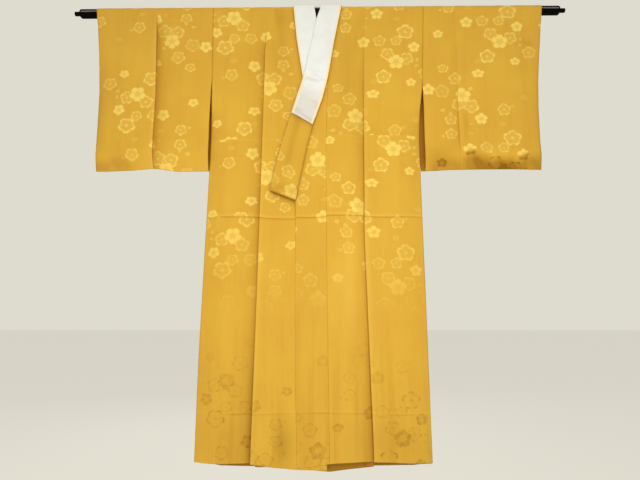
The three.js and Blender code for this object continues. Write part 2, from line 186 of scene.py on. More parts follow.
SLEEVE_BOTTOM = {
    "right": table("x z", (-618, -477), (-588, -477), (-522, -474.6), (-460, -469), (-443, -470.7),
                   (-390, -478), (-305, -477)),
    "left": table("x z", (295, -479), (320, -478), (364, -475.5), (451, -474.3), (537, -474.2), (612, -476)),
}


class Crease:
    """A line that the cloth keeps from its storage: a lip on one side of it, a dip on the other, and a
    narrow fold between them that hides some of the cloth."""

    def __init__(self, line, lip_side, lip, reach, dip, fold, strength, hidden):
        self.top_x, self.top_z, self.mid_x, self.foot_x, self.foot_z = line
        self.lip_side, self.lip, self.reach, self.dip, self.fold = lip_side, lip, reach, dip, fold
        self.strength = table("z s", *strength)
        self.hidden = table("z mm", *hidden)

    def x(self, z):
        t = clamp((self.top_z - z) / (self.top_z - self.foot_z))
        upper = blend(self.top_x, self.mid_x, clamp(t * 2))
        return np.where(t < 0.5, upper, blend(self.mid_x, self.foot_x, clamp(t * 2 - 1)))

    def swell(self, x, z):
        """Its slow part, away from the line."""
        across = (x - self.x(z)) * self.lip_side
        lip = beyond(across - LIP_EDGE, self.lip, self.reach)
        dip = beyond(-across - LIP_EDGE, self.dip, DIP_REACH)
        return np.where(across > 0, lip, -dip) * read(self.strength, z, "z", "s")


LIP_EDGE = 5
DIP_REACH = 22
FULL_DIP = 4
PLAIN = ((0, 0), (-4, 0), (-64, 1), (-1300, 1))
CREASES = {
    ("right", "front"): Crease((-149, -20, -158, -169.5, -1300), 1, 6, 70, 4.5, 4.5,
                               ((0, 0), (-60, 0.1), (-130, 0.9), (-900, 1.05), (-1300, 1.3)),
                               ((0, 2), (-200, 6), (-600, 8), (-760, 30), (-1300, 12))),
    ("left", "front"): Crease((129, -20, 124.5, 143.5, -1300), 1, 3.6, 60, 3, 4,
                              ((0, 0), (-4, 0.15), (-120, 0.3), (-240, 0.7), (-420, 1), (-1300, 1.15)),
                              ((0, 0), (-560, 3), (-700, 20), (-1300, 12))),
    ("right", "back"): Crease((-160, -20, -152, -163, -1300), -1, 5, 70, 4, 4, PLAIN,
                              ((0, 3), (-1300, 10))),
    ("left", "back"): Crease((140, -20, 148, 139, -1300), 1, 5, 60, 4, 4.5, PLAIN, ((0, 3), (-1300, 12))),
    ("right sleeve", "front"): Crease((-466, -10, -458, -460, -500), -1, 6, 60, 5.5, 3.5, PLAIN,
                                      ((0, 18), (-500, 20))),
    ("left sleeve", "front"): Crease((392, -10, 389, 390, -500), 1, 1.6, 60, 1.6, 2.2,
                                     ((0, 0), (-4, 0.25), (-200, 0.4), (-290, 0.9), (-390, 1), (-430, 0.4),
                                      (-500, 0.2)),
                                     ((0, 2), (-500, 6))),
    ("right sleeve", "back"): Crease((-452, -10, -456, -459, -500), 1, 2.5, 50, 2, 6, PLAIN,
                                     ((0, 6), (-500, 8))),
    ("left sleeve", "back"): Crease((447, -10, 452, 449, -500), -1, 3, 50, 2, 6, PLAIN,
                                    ((0, 5), (-500, 7))),
}

# Cross-section of a crease's fold, from the dip to the lip: the place in the cloth, where that place lies
# across, and shares of the dip, of the fold's depth and of the lip
FOLD = table("place x dip fold lip",
             (-34, -34, 0.27, 0, 0), (-24, -24, 0.42, 0, 0), (-16, -16, 0.6, 0, 0), (-10, -10, 0.8, 0, 0),
             (-6.5, -6.5, 0.95, 0, 0), (-4.6, -4.2, 0.7, 0.1, 0), (-3.2, -3, 0.4, 0.42, 0),
             (-1.8, -2.1, 0.1, 0.85, 0), (-0.6, -0.9, 0, 1, 0), (0.6, 0.3, 0, 0.85, 0),
             (1.6, 0.5, 0, 0.3, 0.3), (2.6, -0.5, 0, 0, 0.78), (3.6, -0.4, 0, 0, 1),
             (5, 1.4, 0, 0, 1.06), (7.5, 5, 0, 0, 1),
             (12, 10.5, 0, 0, 0.93), (18, 17.5, 0, 0, 0.84), (26, 26, 0, 0, 0.74))

# Slow rises and hollows down the cloth: whether each is at the back, the line that it follows, where it
# starts and ends, how wide it is, and its height
FLUTES = table("back topX footX topZ footZ width height",
               (0, -240, -252, -60, -1200, 34, 1.6), (0, -200, -210, -230, -1240, 22, -1.2),
               (0, 215, 222, -90, -1230, 30, 1.4), (0, 262, 262, -260, -1240, 14, -1.1),
               (0, 168, 178, -640, -1250, 20, -1), (0, 70, 80, -240, -1250, 26, 1.5),
               (0, -110, -118, -620, -1250, 20, 1.4), (0, -82, -84, -620, -1250, 10, -0.9),
               (0, 0, 2, -640, -1250, 22, 0.9), (0, -545, -538, -20, -470, 20, 1.8),
               (0, -590, -585, -40, -470, 22, -1.4), (0, -375, -380, -30, -470, 26, 1.4),
               (0, 450, 452, -40, -470, 24, 1.3), (0, 545, 552, -30, -460, 26, 1.5),
               (0, 590, 588, -90, -470, 14, -1.6), (0, 340, 340, -60, -470, 22, -1),
               (1, -250, -240, -60, -1240, 30, 1.8), (1, -205, -196, -200, -1240, 24, -1.5),
               (1, -90, -96, -80, -1250, 34, 1.6), (1, -30, -26, -260, -1260, 20, -1.3),
               (1, 60, 66, -90, -1255, 32, 1.7), (1, 105, 112, -400, -1255, 18, -1.2),
               (1, 205, 196, -60, -1240, 30, 1.6), (1, 258, 250, -330, -1240, 18, -1.3),
               (1, -560, -552, -30, -470, 28, 1.7), (1, -510, -504, -90, -470, 20, -1.4),
               (1, -370, -378, -40, -470, 30, 1.5), (1, 380, 372, -40, -470, 30, 1.6),
               (1, 520, 528, -60, -470, 24, -1.5), (1, 575, 580, -40, -470, 22, 1.4))


def sway(face, x, z):
    """Slow waves of the cloth, the same in all its layers on one face."""
    total = np.zeros(np.broadcast(x, z).shape)
    for back, top_x, foot_x, top_z, foot_z, width, height in zip(*FLUTES.values()):
        if (face == "back") != bool(back):
            continue
        t = (top_z - z) / (top_z - foot_z)
        along = ease(t * 5 + 0.5) * ease((1.15 - t) * 4)
        total = total + along * hump(x - blend(top_x, foot_x, t), height, width)
    wander = 0.5 * np.sin(x / 37 + z / 160 + 1) * np.sin(z / 90 - x / 210 + (2 if face == "back" else 0))
    fine = 0.16 * np.sin(x / 11 + 1.3 * np.sin(z / 120)) * np.sin(z / 47 + x / 60)
    return (total + wander + fine) * rise(z, WAVES_FROM, -WAVES_FADE)


def ridge(z, at, before, after, height):
    """A line across the cloth, with its own reach above and below."""
    return near(z - at, height, np.where(z > at, before, after))


# Shape of the cloth


def right_arm_x(z, left_x):
    return read(ARM_SUM, z, "z", "sum") - left_x


def lift_over_right_side(x, z):
    """How far the left front stands off, over the collar's right arm and the right front's edge."""
    arm_edge = right_arm_x(z, read(COLLAR_FOLD, z)) + EDGE_MARGIN
    front_edge = read(FRONT_EDGE["right"], z) + EDGE_MARGIN
    by_front = LIFT_OVER_FRONT * rise(x, front_edge + 24, -24) * rise(z, -150, -60)
    over_arm = rise(x, arm_edge + 50, -50) * rise(z, 0, -30) * rise(z, -650, 80)
    return by_front + (LIFT_OVER_ARM - by_front) * over_arm


def tuck_relief(z):
    """The waist tuck, whose upper edge stands proud over a narrow groove."""
    above = z - TUCK
    lip = beyond(above, 1.9, 26) - beyond(above, 0.9, 0.9)
    groove = beyond(-above, -2.2, 1.6)
    return np.where(above > 0, lip, groove)


def facing_line(x):
    """Height of the hem's turned-up edge, a little lower towards the sides."""
    return HEM_FACING - FACING_SLOPE * np.abs(x)


def storage_lines(face, side, x, z):
    """Faint lines across the cloth: the inner tuck, a fold from storage, and the hem's turned-up edge."""
    inner = INNER_TUCK[side]
    total = ridge(z, inner, 9, 1.2, 0.75) - ridge(z, inner - 2.5, 1, 6, 0.4)
    total = total + ridge(z, STORAGE_FOLD, 5, 5, 0.45) + ridge(z, facing_line(x), 1.5, 14, 0.6)
    return total if face == "front" else total * 1.2


def all_creases(piece, face, x, z, but=None):
    total = np.zeros(np.broadcast(x, z).shape)
    for side in ("right", "left"):
        crease = CREASES[side + piece, face]
        if crease is not but:
            total = total + crease.swell(x, z)
    return total


def body_depth(side, face, x, z, but=None):
    """How far the body's cloth lies from the rod's middle plane. It rounds off where its side is closed."""
    from_side = np.abs(x - read(SIDE[side], z))
    closed = rise(z, SIDE_CLOSES_FROM, SIDE_SEAM_TOP - SIDE_CLOSES_FROM)
    inward = clamp(from_side / SIDE_ROUNDING)
    rounding = blend(1, np.sin(inward * math.pi / 2), closed)
    edge_in = near(from_side, *TURNED_EDGE) * (1 - closed)
    lift = lift_over_right_side(x, z) if (face, side) == ("front", "left") else 0
    relief = all_creases("", face, x, z, but) + sway(face, x, z)
    relief = relief + (tuck_relief(z) + storage_lines(face, side, x, z)) * ease(inward * 4)
    return SEAM_DEPTH + (REACH - SEAM_DEPTH) * rounding + relief * blend(1, inward, closed) + lift - edge_in


def rolled_under(side, x):
    """How much the sleeve's bottom rolls under: most on the left sleeve, between its crease and the cuff."""
    if side == "right":
        return 0.3 * rise(x, -490, -60)
    return 0.4 * rise(x, 292, 30) + 0.6 * rise(x, 380, 70) - 0.42 * rise(x, 540, 50)


def above_sleeve_bottom(side, x, z):
    return z - read(SLEEVE_BOTTOM[side], x, "x", "z")


def sleeve_rounding(above):
    return np.sin(clamp(above / SLEEVE_ROUNDING) * math.pi / 2)


def sleeve_depth(side, face, x, z, but=None):
    """How far the sleeve's cloth lies from the rod's middle plane. It rounds off to the bottom's seam."""
    above = above_sleeve_bottom(side, x, z)
    cuff = x - read(CUFF[side], z)
    curl = near(cuff, 3.2, 26) * rise(z, -60, -160) + near(cuff, 0.8, 3)
    sewn = near(x - read(SLEEVE_INNER[side], z), *TURNED_EDGE)
    relief = all_creases(" sleeve", face, x, z, but) + sway(face, x, z) - curl - sewn
    if face == "front":
        relief = relief + rolled_under(side, x) * hump(above - 36, 5, 26)
    return SEAM_DEPTH + (REACH - SEAM_DEPTH + relief) * sleeve_rounding(above)


# Meshes

BODY = "root"


def smooth_mesh(name, points, faces, corners=None, tone=None, shade=None):
    """A mesh from points in millimetres. corners is a place in the cloth for each corner of each face."""
    mesh = bpy.data.meshes.new(name)
    mesh.from_pydata((np.asarray(points, float) * MM).tolist(), [], faces)
    mesh.polygons.foreach_set("use_smooth", np.ones(len(mesh.polygons), bool))
    if corners is not None:
        layer = mesh.uv_layers.new(name="cloth")
        layer.data.foreach_set("uv", (np.asarray(corners, float) * MM).ravel().astype(np.float32))
    for label, values in (("tone", tone), ("shade", shade)):
        if values is not None:
            attribute = mesh.attributes.new(label, "FLOAT", "POINT")
            attribute.data.foreach_set("value", np.asarray(values, np.float32).ravel())
    mesh.validate()
    obj = bpy.data.objects.new(name, mesh)
    bpy.context.collection.objects.link(obj)
    return obj


def grid(name, points, places, cell_shift=None, tone=None, shade=None):
    """A cloth from rows and columns of points. places are the same points in the flat cloth, and cell_shift
    is added to them cell by cell, where a fold hides cloth."""
    rows, columns = points.shape[:2]
    j, i = np.meshgrid(np.arange(rows - 1), np.arange(columns - 1), indexing="ij")
    a = (j * columns + i).ravel()
    quads = np.stack([a, a + 1, a + columns + 1, a + columns], 1)
    corners = places.reshape(-1, 2)[quads]
    if cell_shift is not None:
        corners = corners + cell_shift.reshape(-1, 1, 2)
    return smooth_mesh(name, points.reshape(-1, 3), quads.tolist(), corners.reshape(-1, 2), tone, shade)


def thicken(obj, thickness, hollow_shade=None):
    """Gives a sheet its two sides, with painted shade, from the function given last, on the side that faces
    the rod's middle plane.
    """
    shell = obj.modifiers.new("thickness", "SOLIDIFY")
    shell.thickness = thickness * MM
    shell.offset = 0
    shell.use_even_offset = False
    if hollow_shade is None:
        return obj
    graph = bpy.context.evaluated_depsgraph_get()
    solid = bpy.data.meshes.new_from_object(obj.evaluated_get(graph))
    obj.modifiers.clear()
    obj.data = solid
    count = len(solid.vertices)
    places = np.empty(count * 3, np.float32)
    solid.vertices.foreach_get("co", places)
    x, y, z = places.reshape(-1, 3).T / MM
    half = count // 2
    inner = np.concatenate([np.abs(y[:half]) < np.abs(y[half:])] * 2)
    inner[half:] = ~inner[half:]
    shade = np.empty(count, np.float32)
    solid.attributes["shade"].data.foreach_get("value", shade)
    solid.attributes["shade"].data.foreach_set("value", shade + inner * hollow_shade(x, y, z))
    return obj


def slit_shadow(x, y, z):
    """Painted shade on the inner side of the back cloth, where the slits beside the body and the hem let it
    be seen.
    """
    across = np.abs(x)
    slit = rise(across, 276, 6) * rise(across, 338, -14) * rise(z, -206, -20) * rise(z, -520, 30)
    darker_higher = blend(0.84, 1.1, clamp((z + 480) / 260))
    near_hem = 0.62 * rise(z, -1120, -60)
    return ((slit * darker_higher + near_hem) * (y > 0)).astype(np.float32)


# Painted sheen of the damask's blossoms at each height, in the light there: 1 lighter than the ground, -1
# darker
TONE = table("z tone", (-1260, -0.85), (-1050, -0.62), (-930, -0.2), (-850, 0.2), (-760, 0.5), (-640, 0.75),
             (-560, 1), (40, 1))
ROLLED_TONE = -1.4


def motif_tone(z, turned=0):
    """The blossoms' painted sheen by height, and painted darkest where the cloth is turned under."""
    return blend(read(TONE, z, "z", "tone"), ROLLED_TONE, turned)


def fold_shade(crease, from_line, z):
    """Painted shade in a crease's dip, and a painted highlight on its lip."""
    across = from_line * crease.lip_side
    dip = beyond(-across, 0.26, 9) + beyond(-across, 0.14, 30)
    dip = dip * (1 + 0.5 * rise(z, -880, -200))
    lip = near(across - LIP_EDGE, -0.07, 5)
    share = read(crease.strength, z, "z", "s") * min(crease.dip / FULL_DIP, 1)
    return np.where(across < 1.5, dip, lip) * share


# The shadow past the collar's outer and inner edge: how dark it is, and how far it reaches
OUTER_SHADOW = (0.42, 3.6)
INNER_SHADOW = (0.34, 3.6)


def collar_shadow(side, x, z):
    """The collar's own shadow on the fronts: past its two edges, and below the left arm's foot."""
    seam = read(COLLAR_SEAM, z)
    if side == "left":
        return beyond(x - seam, *OUTER_SHADOW) * rise(z, BAND_FOOT - 4, 8)
    right_arm = beyond(right_arm_x(z, seam) - x, *INNER_SHADOW) * rise(z, COLLAR_MEETS_PANEL - 2, 12)
    left_arm = beyond(read(COLLAR_FOLD, z) - x, *INNER_SHADOW) * rise(z, -200, -12) * rise(z, -542, 8)
    foot = BAND_FOOT + (-61 - x) * (26 / 69)
    below = beyond(foot - z, 0.6, 5.5) * rise(x, -134, 10) * rise(x, -58, -5)
    return right_arm + left_arm + below * (z < -530)


# Painted soft shadows where the cloth turns away from the light, by the piece of cloth: the middle's x and z,
# how far each reaches left, right and down, how dark it is (below zero, a painted highlight), and how much it
# leans
SOFT_SHADOWS = {
    "right": ((-118, -22, 8, 30, 46, 0.16, 0.1), (-119, -165, 22, 22, 70, 0.09, 0),
              (-96, -128, 14, 10, 70, 0.07, 0.2), (-240, -1180, 40, 60, 60, 0.1, 0),
              (-92, -1190, 18, 26, 60, 0.27, 0.02), (-98, -720, 40, 30, 240, 0.035, 0)),
    "left": ((108, -90, 16, 10, 60, 0.05, -0.1), (205, -1190, 80, 60, 50, 0.12, 0),
             (90, -800, 44, 44, 260, -0.09, 0), (80, -185, 22, 26, 80, 0.1, 0)),
    "right sleeve": ((-616, -300, 30, 22, 170, 0.15, 0), (-560, -462, 70, 70, 14, 0.06, 0)),
    "left sleeve": ((612, -330, 20, 30, 150, 0.14, 0), (596, -108, 26, 14, 12, 0.12, 0.5),
                    (405, -345, 5, 9, 46, 0.12, 0), (322, -446, 34, 46, 30, 0.2, 0)),
    "right band": ((-20, -1230, 20, 30, 20, 0.05, 0),),
    "left band": ((-20, -760, 60, 60, 260, 0.05, 0),),
}


def soft_shadows(key, x, z, face):
    total = 0 * x
    if face != "front":
        return total
    for at_x, at_z, left, right, down, dark, lean in SOFT_SHADOWS[key]:
        across = x - at_x - lean * (at_z - z)
        total = total + hump(across, dark, np.where(across < 0, left, right)) * hump(z - at_z, 1, down)
    return total


def line_shade(x, z, face):
    """Painted shade in the groove under the waist tuck and along the hem's turned-up edge, with a painted
    highlight just above each.
    """
    if face == "over":
        return 0 * x
    above = z - TUCK
    tuck = beyond(-above, 0.26, 1.7) * (above < 0.3) - hump(above - 4, 0.07, 3)
    facing = z - facing_line(x)
    broken = 0.55 + 0.45 * np.sin(x / 23 + 1) * np.sin(x / 61 + 2)
    return tuck + broken * hump(facing, 0.2, 1.7) - hump(facing - 4, 0.05, 2.5)


def levels(first, last, step, marks=()):
    """Heights from the first to the last, closer together round each mark."""
    base = list(np.linspace(first, last, int(abs(first - last) / step) + 1))
    for mark in marks:
        round_mark = [mark + d for d in (9, 4.5, 2.4, 1.2, 0.5, 0.05, -0.5, -1.2, -2.2, -4, -8)]
        base = [z for z in base if abs(z - mark) > 10] + round_mark
    return sorted(set(round(z, 3) for z in base), reverse=first > last)


# Body and sleeves

HEM_ROWS = 12
LAST_BODY_ROW = -1190
LAST_SLEEVE_ROW = -440
BEHIND_NECK = [0, -1.5, -3, -4.5, -6, -7.5, -9, -10.2, -11.5, -12.8, -14]
BODY_FRONT = levels(LAST_BODY_ROW, 0, 5.6,
                    (HEM_FACING, TUCK, STORAGE_FOLD, INNER_TUCK["left"], INNER_TUCK["right"]))
BODY_BACK = BEHIND_NECK + levels(-18, LAST_BODY_ROW, 6.2, (INNER_TUCK["right"], TUCK, HEM_FACING))
SLEEVE_FRONT = levels(LAST_SLEEVE_ROW, 0, 4.4)
SLEEVE_BACK = levels(-2, LAST_SLEEVE_ROW, 4.8)

# Columns on the two sides of a piece's crease, from low x to high x
CELLS = {"right": (42, 26), "left": (26, 42), "right sleeve": (36, 34), "left sleeve": (22, 46)}

BEND_REACH = 40
BEHIND_BODY = 12
HEM_GLINT = 0.1


def over_rod_rows(front, back):
    """Rows of a cloth that goes up the front, over the rod and down the back: face, height, turn, and how
    far towards its end the row is."""
    rows = [("front", front[0], 0, 1 - k / HEM_ROWS) for k in range(HEM_ROWS)]
    rows += [("front", z, 0, 0) for z in front]
    rows += [("over", 0, math.pi * k / 12, 0) for k in range(1, 12)]
    rows += [("back", z, math.pi, 0) for z in back]
    rows += [("back", back[-1], math.pi, (k + 1) / HEM_ROWS) for k in range(HEM_ROWS)]
    return rows


def fold_columns(low, high, crease_x, crease, z, cells_low, cells_high):
    """Columns of a row from low x to high x, close together in the crease's fold. Returns where each lies
    across, its depth from the fold, its place in the flat cloth, and whether it is inside the fold."""
    strength = float(read(crease.strength, z, "z", "s"))
    order = slice(None) if crease.lip_side > 0 else slice(None, None, -1)
    place = (FOLD["place"] * crease.lip_side)[order]
    across = (FOLD["x"] * crease.lip_side)[order]
    across = blend(place, across, strength)
    depth = FOLD["lip"] * crease.lip - FOLD["dip"] * crease.dip - FOLD["fold"] * crease.fold
    depth = depth[order] * strength
    first, last = crease_x + across[0], crease_x + across[-1]
    left = np.linspace(low, first, cells_low, endpoint=False)
    right = np.linspace(last, high, cells_high + 1)[1:]
    x = np.concatenate([left, crease_x + across, right])
    in_cloth = np.concatenate([left, crease_x + place, right])
    before, after = np.zeros(cells_low), np.zeros(cells_high)
    inside = np.concatenate([before, np.ones(len(across)), after]) > 0
    return x, np.concatenate([before, depth, after]), in_cloth, inside


def inner_edge(side, face, z):
    if face == "over":
        return CENTRE + AWAY[side] * BACK_NECK["half"][0]
    if face == "back":
        return CENTRE + AWAY[side] * float(read(BACK_NECK, z, "z", "half"))
    if z > COLLAR_MEETS_PANEL + 1:
        left_x = float(read(COLLAR_SEAM, z))
        return float(right_arm_x(z, left_x)) + COLLAR_LAP if side == "right" else left_x - COLLAR_LAP
    return float(read(BAND_SEAM[side], z))


# Where the pattern starts on each piece, across from its edge and down from the rod
PATTERN_AT = {"right": (275, 508), "left": (289, -60), "right sleeve": (9, 362), "left sleeve": (-2, 0)}
BAND_PATTERN_AT = (108, -187)
COLLAR_PATTERN_AT = (121, 282)
COLLAR_INSIDE_AT = 170
PATTERN_LENGTH = 378
HIDDEN_TUCK = 121
TUCK_SLIP = {"right": 16, "left": 0}


def pattern_place(side, piece, edge, places):
    """Places in the pattern, which runs the other way on the right side."""
    across, down = PATTERN_AT[side + piece]
    return np.stack([across + AWAY[side] * (places[..., 0] - edge), down + AWAY[side] * places[..., 1]], -1)


def pattern_shift(side, piece, face, z, from_crease, hidden):
    """How far the pattern jumps, where the crease and the body's tucks hide some cloth."""
    across = np.where(from_crease * AWAY[side] < 0, -hidden, 0)
    down = 0
    if not piece:
        across = across + TUCK_SLIP[side] * (z < TUCK)
        down = HIDDEN_TUCK * (z <= INNER_TUCK[side]) * AWAY[side] * (-1 if face == "back" else 1)
    return np.stack([across, np.full(len(across), down)], -1)


def rolled_shade(side, x, above):
    """Painted shade on the sleeve's bottom where it rolls under, and where its blossoms are turned away and
    painted darker.
    """
    uneven = 46 + 7 * np.sin(x / 31 + 0.6) + 4 * np.sin(x / 13)
    mottled = 0.6 + 0.12 * np.sin(x / 17 + 1) * np.sin(x / 7 + above / 9)
    roll = rise(above, uneven, -36) * rolled_under(side, x) * mottled
    return roll, rise(above, uneven, -12) * (side == "left")


def cloth_over_rod(name, side, piece, edges, end_at, depth_at, front, back, cells, pattern_edge, bend):
    """A panel or a sleeve: one length of cloth, up the front, over the rod and down the back."""
    front_crease, back_crease = CREASES[side + piece, "front"], CREASES[side + piece, "back"]
    rows = over_rod_rows(front, back)
    points, places, tones, shades, shifts = [], [], [], [], []
    for face, z, turn, towards_end in rows:
        crease = front_crease if turn < math.pi / 2 else back_crease
        crease_x = blend(float(front_crease.x(z)), float(back_crease.x(z)), turn / math.pi)
        low, high = sorted(edges(face, z))
        x, fold, in_cloth, inside = fold_columns(low, high, crease_x, crease, z, *cells)
        z_row = np.full(len(x), float(z))
        if towards_end:
            z_row = blend(z, end_at(face, x), towards_end)
            low, high = sorted(edges(face, float(np.mean(z_row))))
            x = low + (x - x[0]) * (high - low) / (x[-1] - x[0])
        if face == "over":
            reach = REACH + 0.25 * np.sin(x / 9) * math.sin(turn)
            xyz = np.stack([x, -reach * math.cos(turn), reach * math.sin(turn)], 1)
            length = np.full(len(x), -REACH * turn)
        else:
            far = np.where(inside, 0, crease.swell(x, z_row))
            keep = sleeve_rounding(above_sleeve_bottom(side, x, z_row)) if piece else 1
            depth = depth_at(face, x, z_row, crease) + (far + fold) * keep
            xyz = np.stack([x, depth * (-1 if face == "front" else 1), z_row + bend(x, z_row)], 1)
            length = -z_row if face == "front" else z_row - math.pi * REACH
        shade = fold_shade(crease, in_cloth - crease_x, z) + line_shade(x, z_row, face)
        shade = shade + soft_shadows(side + piece, x, z_row, face)
        turned = 0
        if face == "front" and piece:
            roll, turned = rolled_shade(side, x, above_sleeve_bottom(side, x, z_row))
            shade = shade + roll
        elif face == "front":
            shade = shade + collar_shadow(side, x, z_row) - HEM_GLINT * (towards_end == 1)
        points.append(xyz)
        places.append(np.stack([in_cloth, length], 1))
        tones.append(motif_tone(xyz[:, 2], turned))
        shades.append(shade)
        from_crease = (in_cloth[1:] + in_cloth[:-1]) / 2 - crease_x
        hidden = float(read(crease.hidden, z, "z", "mm"))
        shifts.append(pattern_shift(side, piece, face, z, from_crease, hidden))
    heights = np.array([row[1] for row in rows])[:, None]
    places = pattern_place(side, piece, read(pattern_edge, heights), np.array(places))
    return grid(name, np.array(points), places, np.array(shifts)[:-1], np.array(tones), np.array(shades))


def body_bend(side):
    """The waist tuck isn't quite level: it steps a little at the creases."""
    def bend(x, z):
        if side == "right":
            return near(z - TUCK, blend(0, -4.5, rise(x, -175, 40)) + 1.2 * np.sin(x / 45), BEND_REACH)
        return near(z - TUCK, blend(3.4, 0, rise(x, 110, 30)) + 0.9 * np.sin(x / 38), BEND_REACH)
    return bend


def no_bend(x, z):
    return 0 * x


def body_panel(side):
    def edges(face, z):
        return float(read(SIDE[side], z)), inner_edge(side, face, z)

    def end_at(face, x):
        return read(HEM["back" if face == "back" else side], x, "x", "z")

    def depth_at(face, x, z, but):
        return body_depth(side, face, x, z, but)

    obj = cloth_over_rod(f"{side}_body_silk", side, "", edges, end_at, depth_at, BODY_FRONT, BODY_BACK,
                         CELLS[side], SIDE[side], body_bend(side))
    return thicken(obj, SILK, slit_shadow)


def sleeve(side):
    def edges(face, z):
        behind = BEHIND_BODY * float(rise(z, -222, -70)) * (face == "back")
        return float(read(CUFF[side], z)), float(read(SLEEVE_INNER[side], z)) - AWAY[side] * behind

    def end_at(face, x):
        return read(SLEEVE_BOTTOM[side], x, "x", "z")

    def depth_at(face, x, z, but):
        return sleeve_depth(side, face, x, z, but)

    obj = cloth_over_rod(f"{side}_sleeve_silk", side, " sleeve", edges, end_at, depth_at, SLEEVE_FRONT,
                         SLEEVE_BACK, CELLS[side + " sleeve"], SLEEVE_INNER[side], no_bend)
    return thicken(obj, SILK, slit_shadow)


def front_band(side):
    """The long strip that carries the front edge, from under the collar down to the hem."""
    heights = levels(COLLAR_MEETS_PANEL - 1, LAST_BODY_ROW, 5.6, (TUCK, HEM_FACING))

    def outer_edge(z):
        if z <= BAND_FOOT:
            return float(read(FRONT_EDGE[side], z))
        left_x = float(read(COLLAR_SEAM, z))
        seam = float(right_arm_x(z, left_x)) if side == "right" else left_x
        return seam - AWAY[side] * COLLAR_LAP * min(max((z - BAND_FOOT) / 40, 0), 1)

    points, places, tones, shades = [], [], [], []
    shares = np.concatenate([[0, 0.01, 0.025], np.linspace(0.06, 0.95, 15), [0.975, 0.99, 1]])
    rows = [(z, 0) for z in heights] + [(heights[-1], (k + 1) / HEM_ROWS) for k in range(HEM_ROWS)]
    for z, towards_end in rows:
        inner = float(read(BAND_SEAM[side], z))
        x = blend(inner, outer_edge(z), shares)
        z_row = blend(z, read(HEM[side], x, "x", "z"), towards_end)
        seam = near(x - inner, 0.5, 1.6)
        roll = near(x - x[-1], 1.1, 1.4) * rise(z_row, BAND_FOOT, -12)
        bend = near(z_row - TUCK, -1.5 + 1.4 * np.sin(x / 19), BEND_REACH)
        depth = body_depth(side, "front", x, z_row) - seam - roll
        shade = line_shade(x, z_row, "front") + soft_shadows(side + " band", x, z_row, "front")
        shade = shade - HEM_GLINT * (towards_end == 1)
        if side == "left":
            shade = shade + collar_shadow(side, x, z_row)
        points.append(np.stack([x, -depth, z_row + bend], 1))
        places.append(np.stack([x + BAND_PATTERN_AT[0], BAND_PATTERN_AT[1] - z_row], 1))
        tones.append(motif_tone(z_row))
        shades.append(shade)
    obj = grid(f"{side}_front_band_silk", np.array(points), np.array(places), None, np.array(tones),
               np.array(shades))
    return thicken(obj, SILK)


# Collar

ARM_STEP = 0.1
NECK_PARTS = 7


def smooth_rows(values, parts):
    """Points between the rows of a table, on a smooth curve through them."""
    values = np.asarray(values, float)
    padded = np.vstack([2 * values[0] - values[1], values, 2 * values[-1] - values[-2]])
    out = []
    for k in range(1, len(padded) - 2):
        p0, p1, p2, p3 = padded[k - 1:k + 3]
        for t in np.arange(parts) / parts:
            out.append(0.5 * (2 * p1 + (p2 - p0) * t + (2 * p0 - 5 * p1 + 4 * p2 - p3) * t * t
                              + (3 * p1 - p0 - 3 * p2 + p3) * t ** 3))
    out.append(values[-1])
    return np.array(out)


def arm_points(right, steps, u):
    """The collar's middle surface on one arm, for steps down the arm and shares from seam to fold."""
    seam = np.interp(steps, ARM_ROWS["step"], ARM_ROWS["seam"])[:, None]
    fold = np.interp(steps, ARM_ROWS["step"], ARM_ROWS["fold"])[:, None]
    z = blend(seam, fold, u[None])
    left_x = blend(read(COLLAR_SEAM, seam), read(COLLAR_FOLD, fold), u[None])
    x = right_arm_x(z, left_x) if right else left_x
    lift = 0 if right else lift_over_right_side(x, z)
    depth = COLLAR_REACH + lift + all_creases("", "front", x, z) + sway("front", x, z)
    return np.stack([x, -depth, z], -1)


def neck_points(away, u):
    rows = smooth_rows(np.stack(list(NECK_ROWS.values()), 1), NECK_PARTS)
    seam = rows[:, None, 0:3] * [away, 1, 1] + [CENTRE, 0, 0]
    fold = rows[:, None, 3:6] * [away, 1, 1] + [CENTRE, 0, 0]
    middle = blend(seam, fold, u[None, :, None])
    out = middle * [0, 1, 1]
    out = out / np.linalg.norm(out, axis=-1, keepdims=True)
    return middle + out * rows[:, None, 6:7] * np.sin(u * math.pi)[None, :, None]


def collar_surface(last_step, u):
    """Rows of the collar from the left arm's foot, round the neck, to the right arm's foot, how far each
    puffs out, and how plump it may be: the right arm lies flat where the left front covers it."""
    steps = np.arange(0, last_step + ARM_STEP / 2, ARM_STEP)
    left, right = arm_points(False, steps, u), arm_points(True, steps, u)
    left_neck, right_neck = neck_points(1, u), neck_points(-1, u)
    points = np.concatenate([left[::-1], left_neck, right_neck[::-1][1:], right])
    puff = np.interp(steps, ARM_ROWS["step"], ARM_ROWS["puff"])
    none = np.zeros(len(left_neck))
    free = 1 - rise(steps, 2.2, 1.3)
    fuller = 1 + 1.9 * rise(steps, WHITE_STEPS + 0.05, 0.9)
    at_top = 0.15 + 0.85 * rise(steps, 0, 1.5)
    flat = none + at_top[0]
    plump = np.concatenate([(fuller * at_top)[::-1], flat, flat[1:], free * at_top])
    return points, np.concatenate([puff[::-1], none, none[1:], 0 * puff]), plump


def unit(v):
    return v / np.maximum(np.linalg.norm(v, axis=-1, keepdims=True), 1e-9)


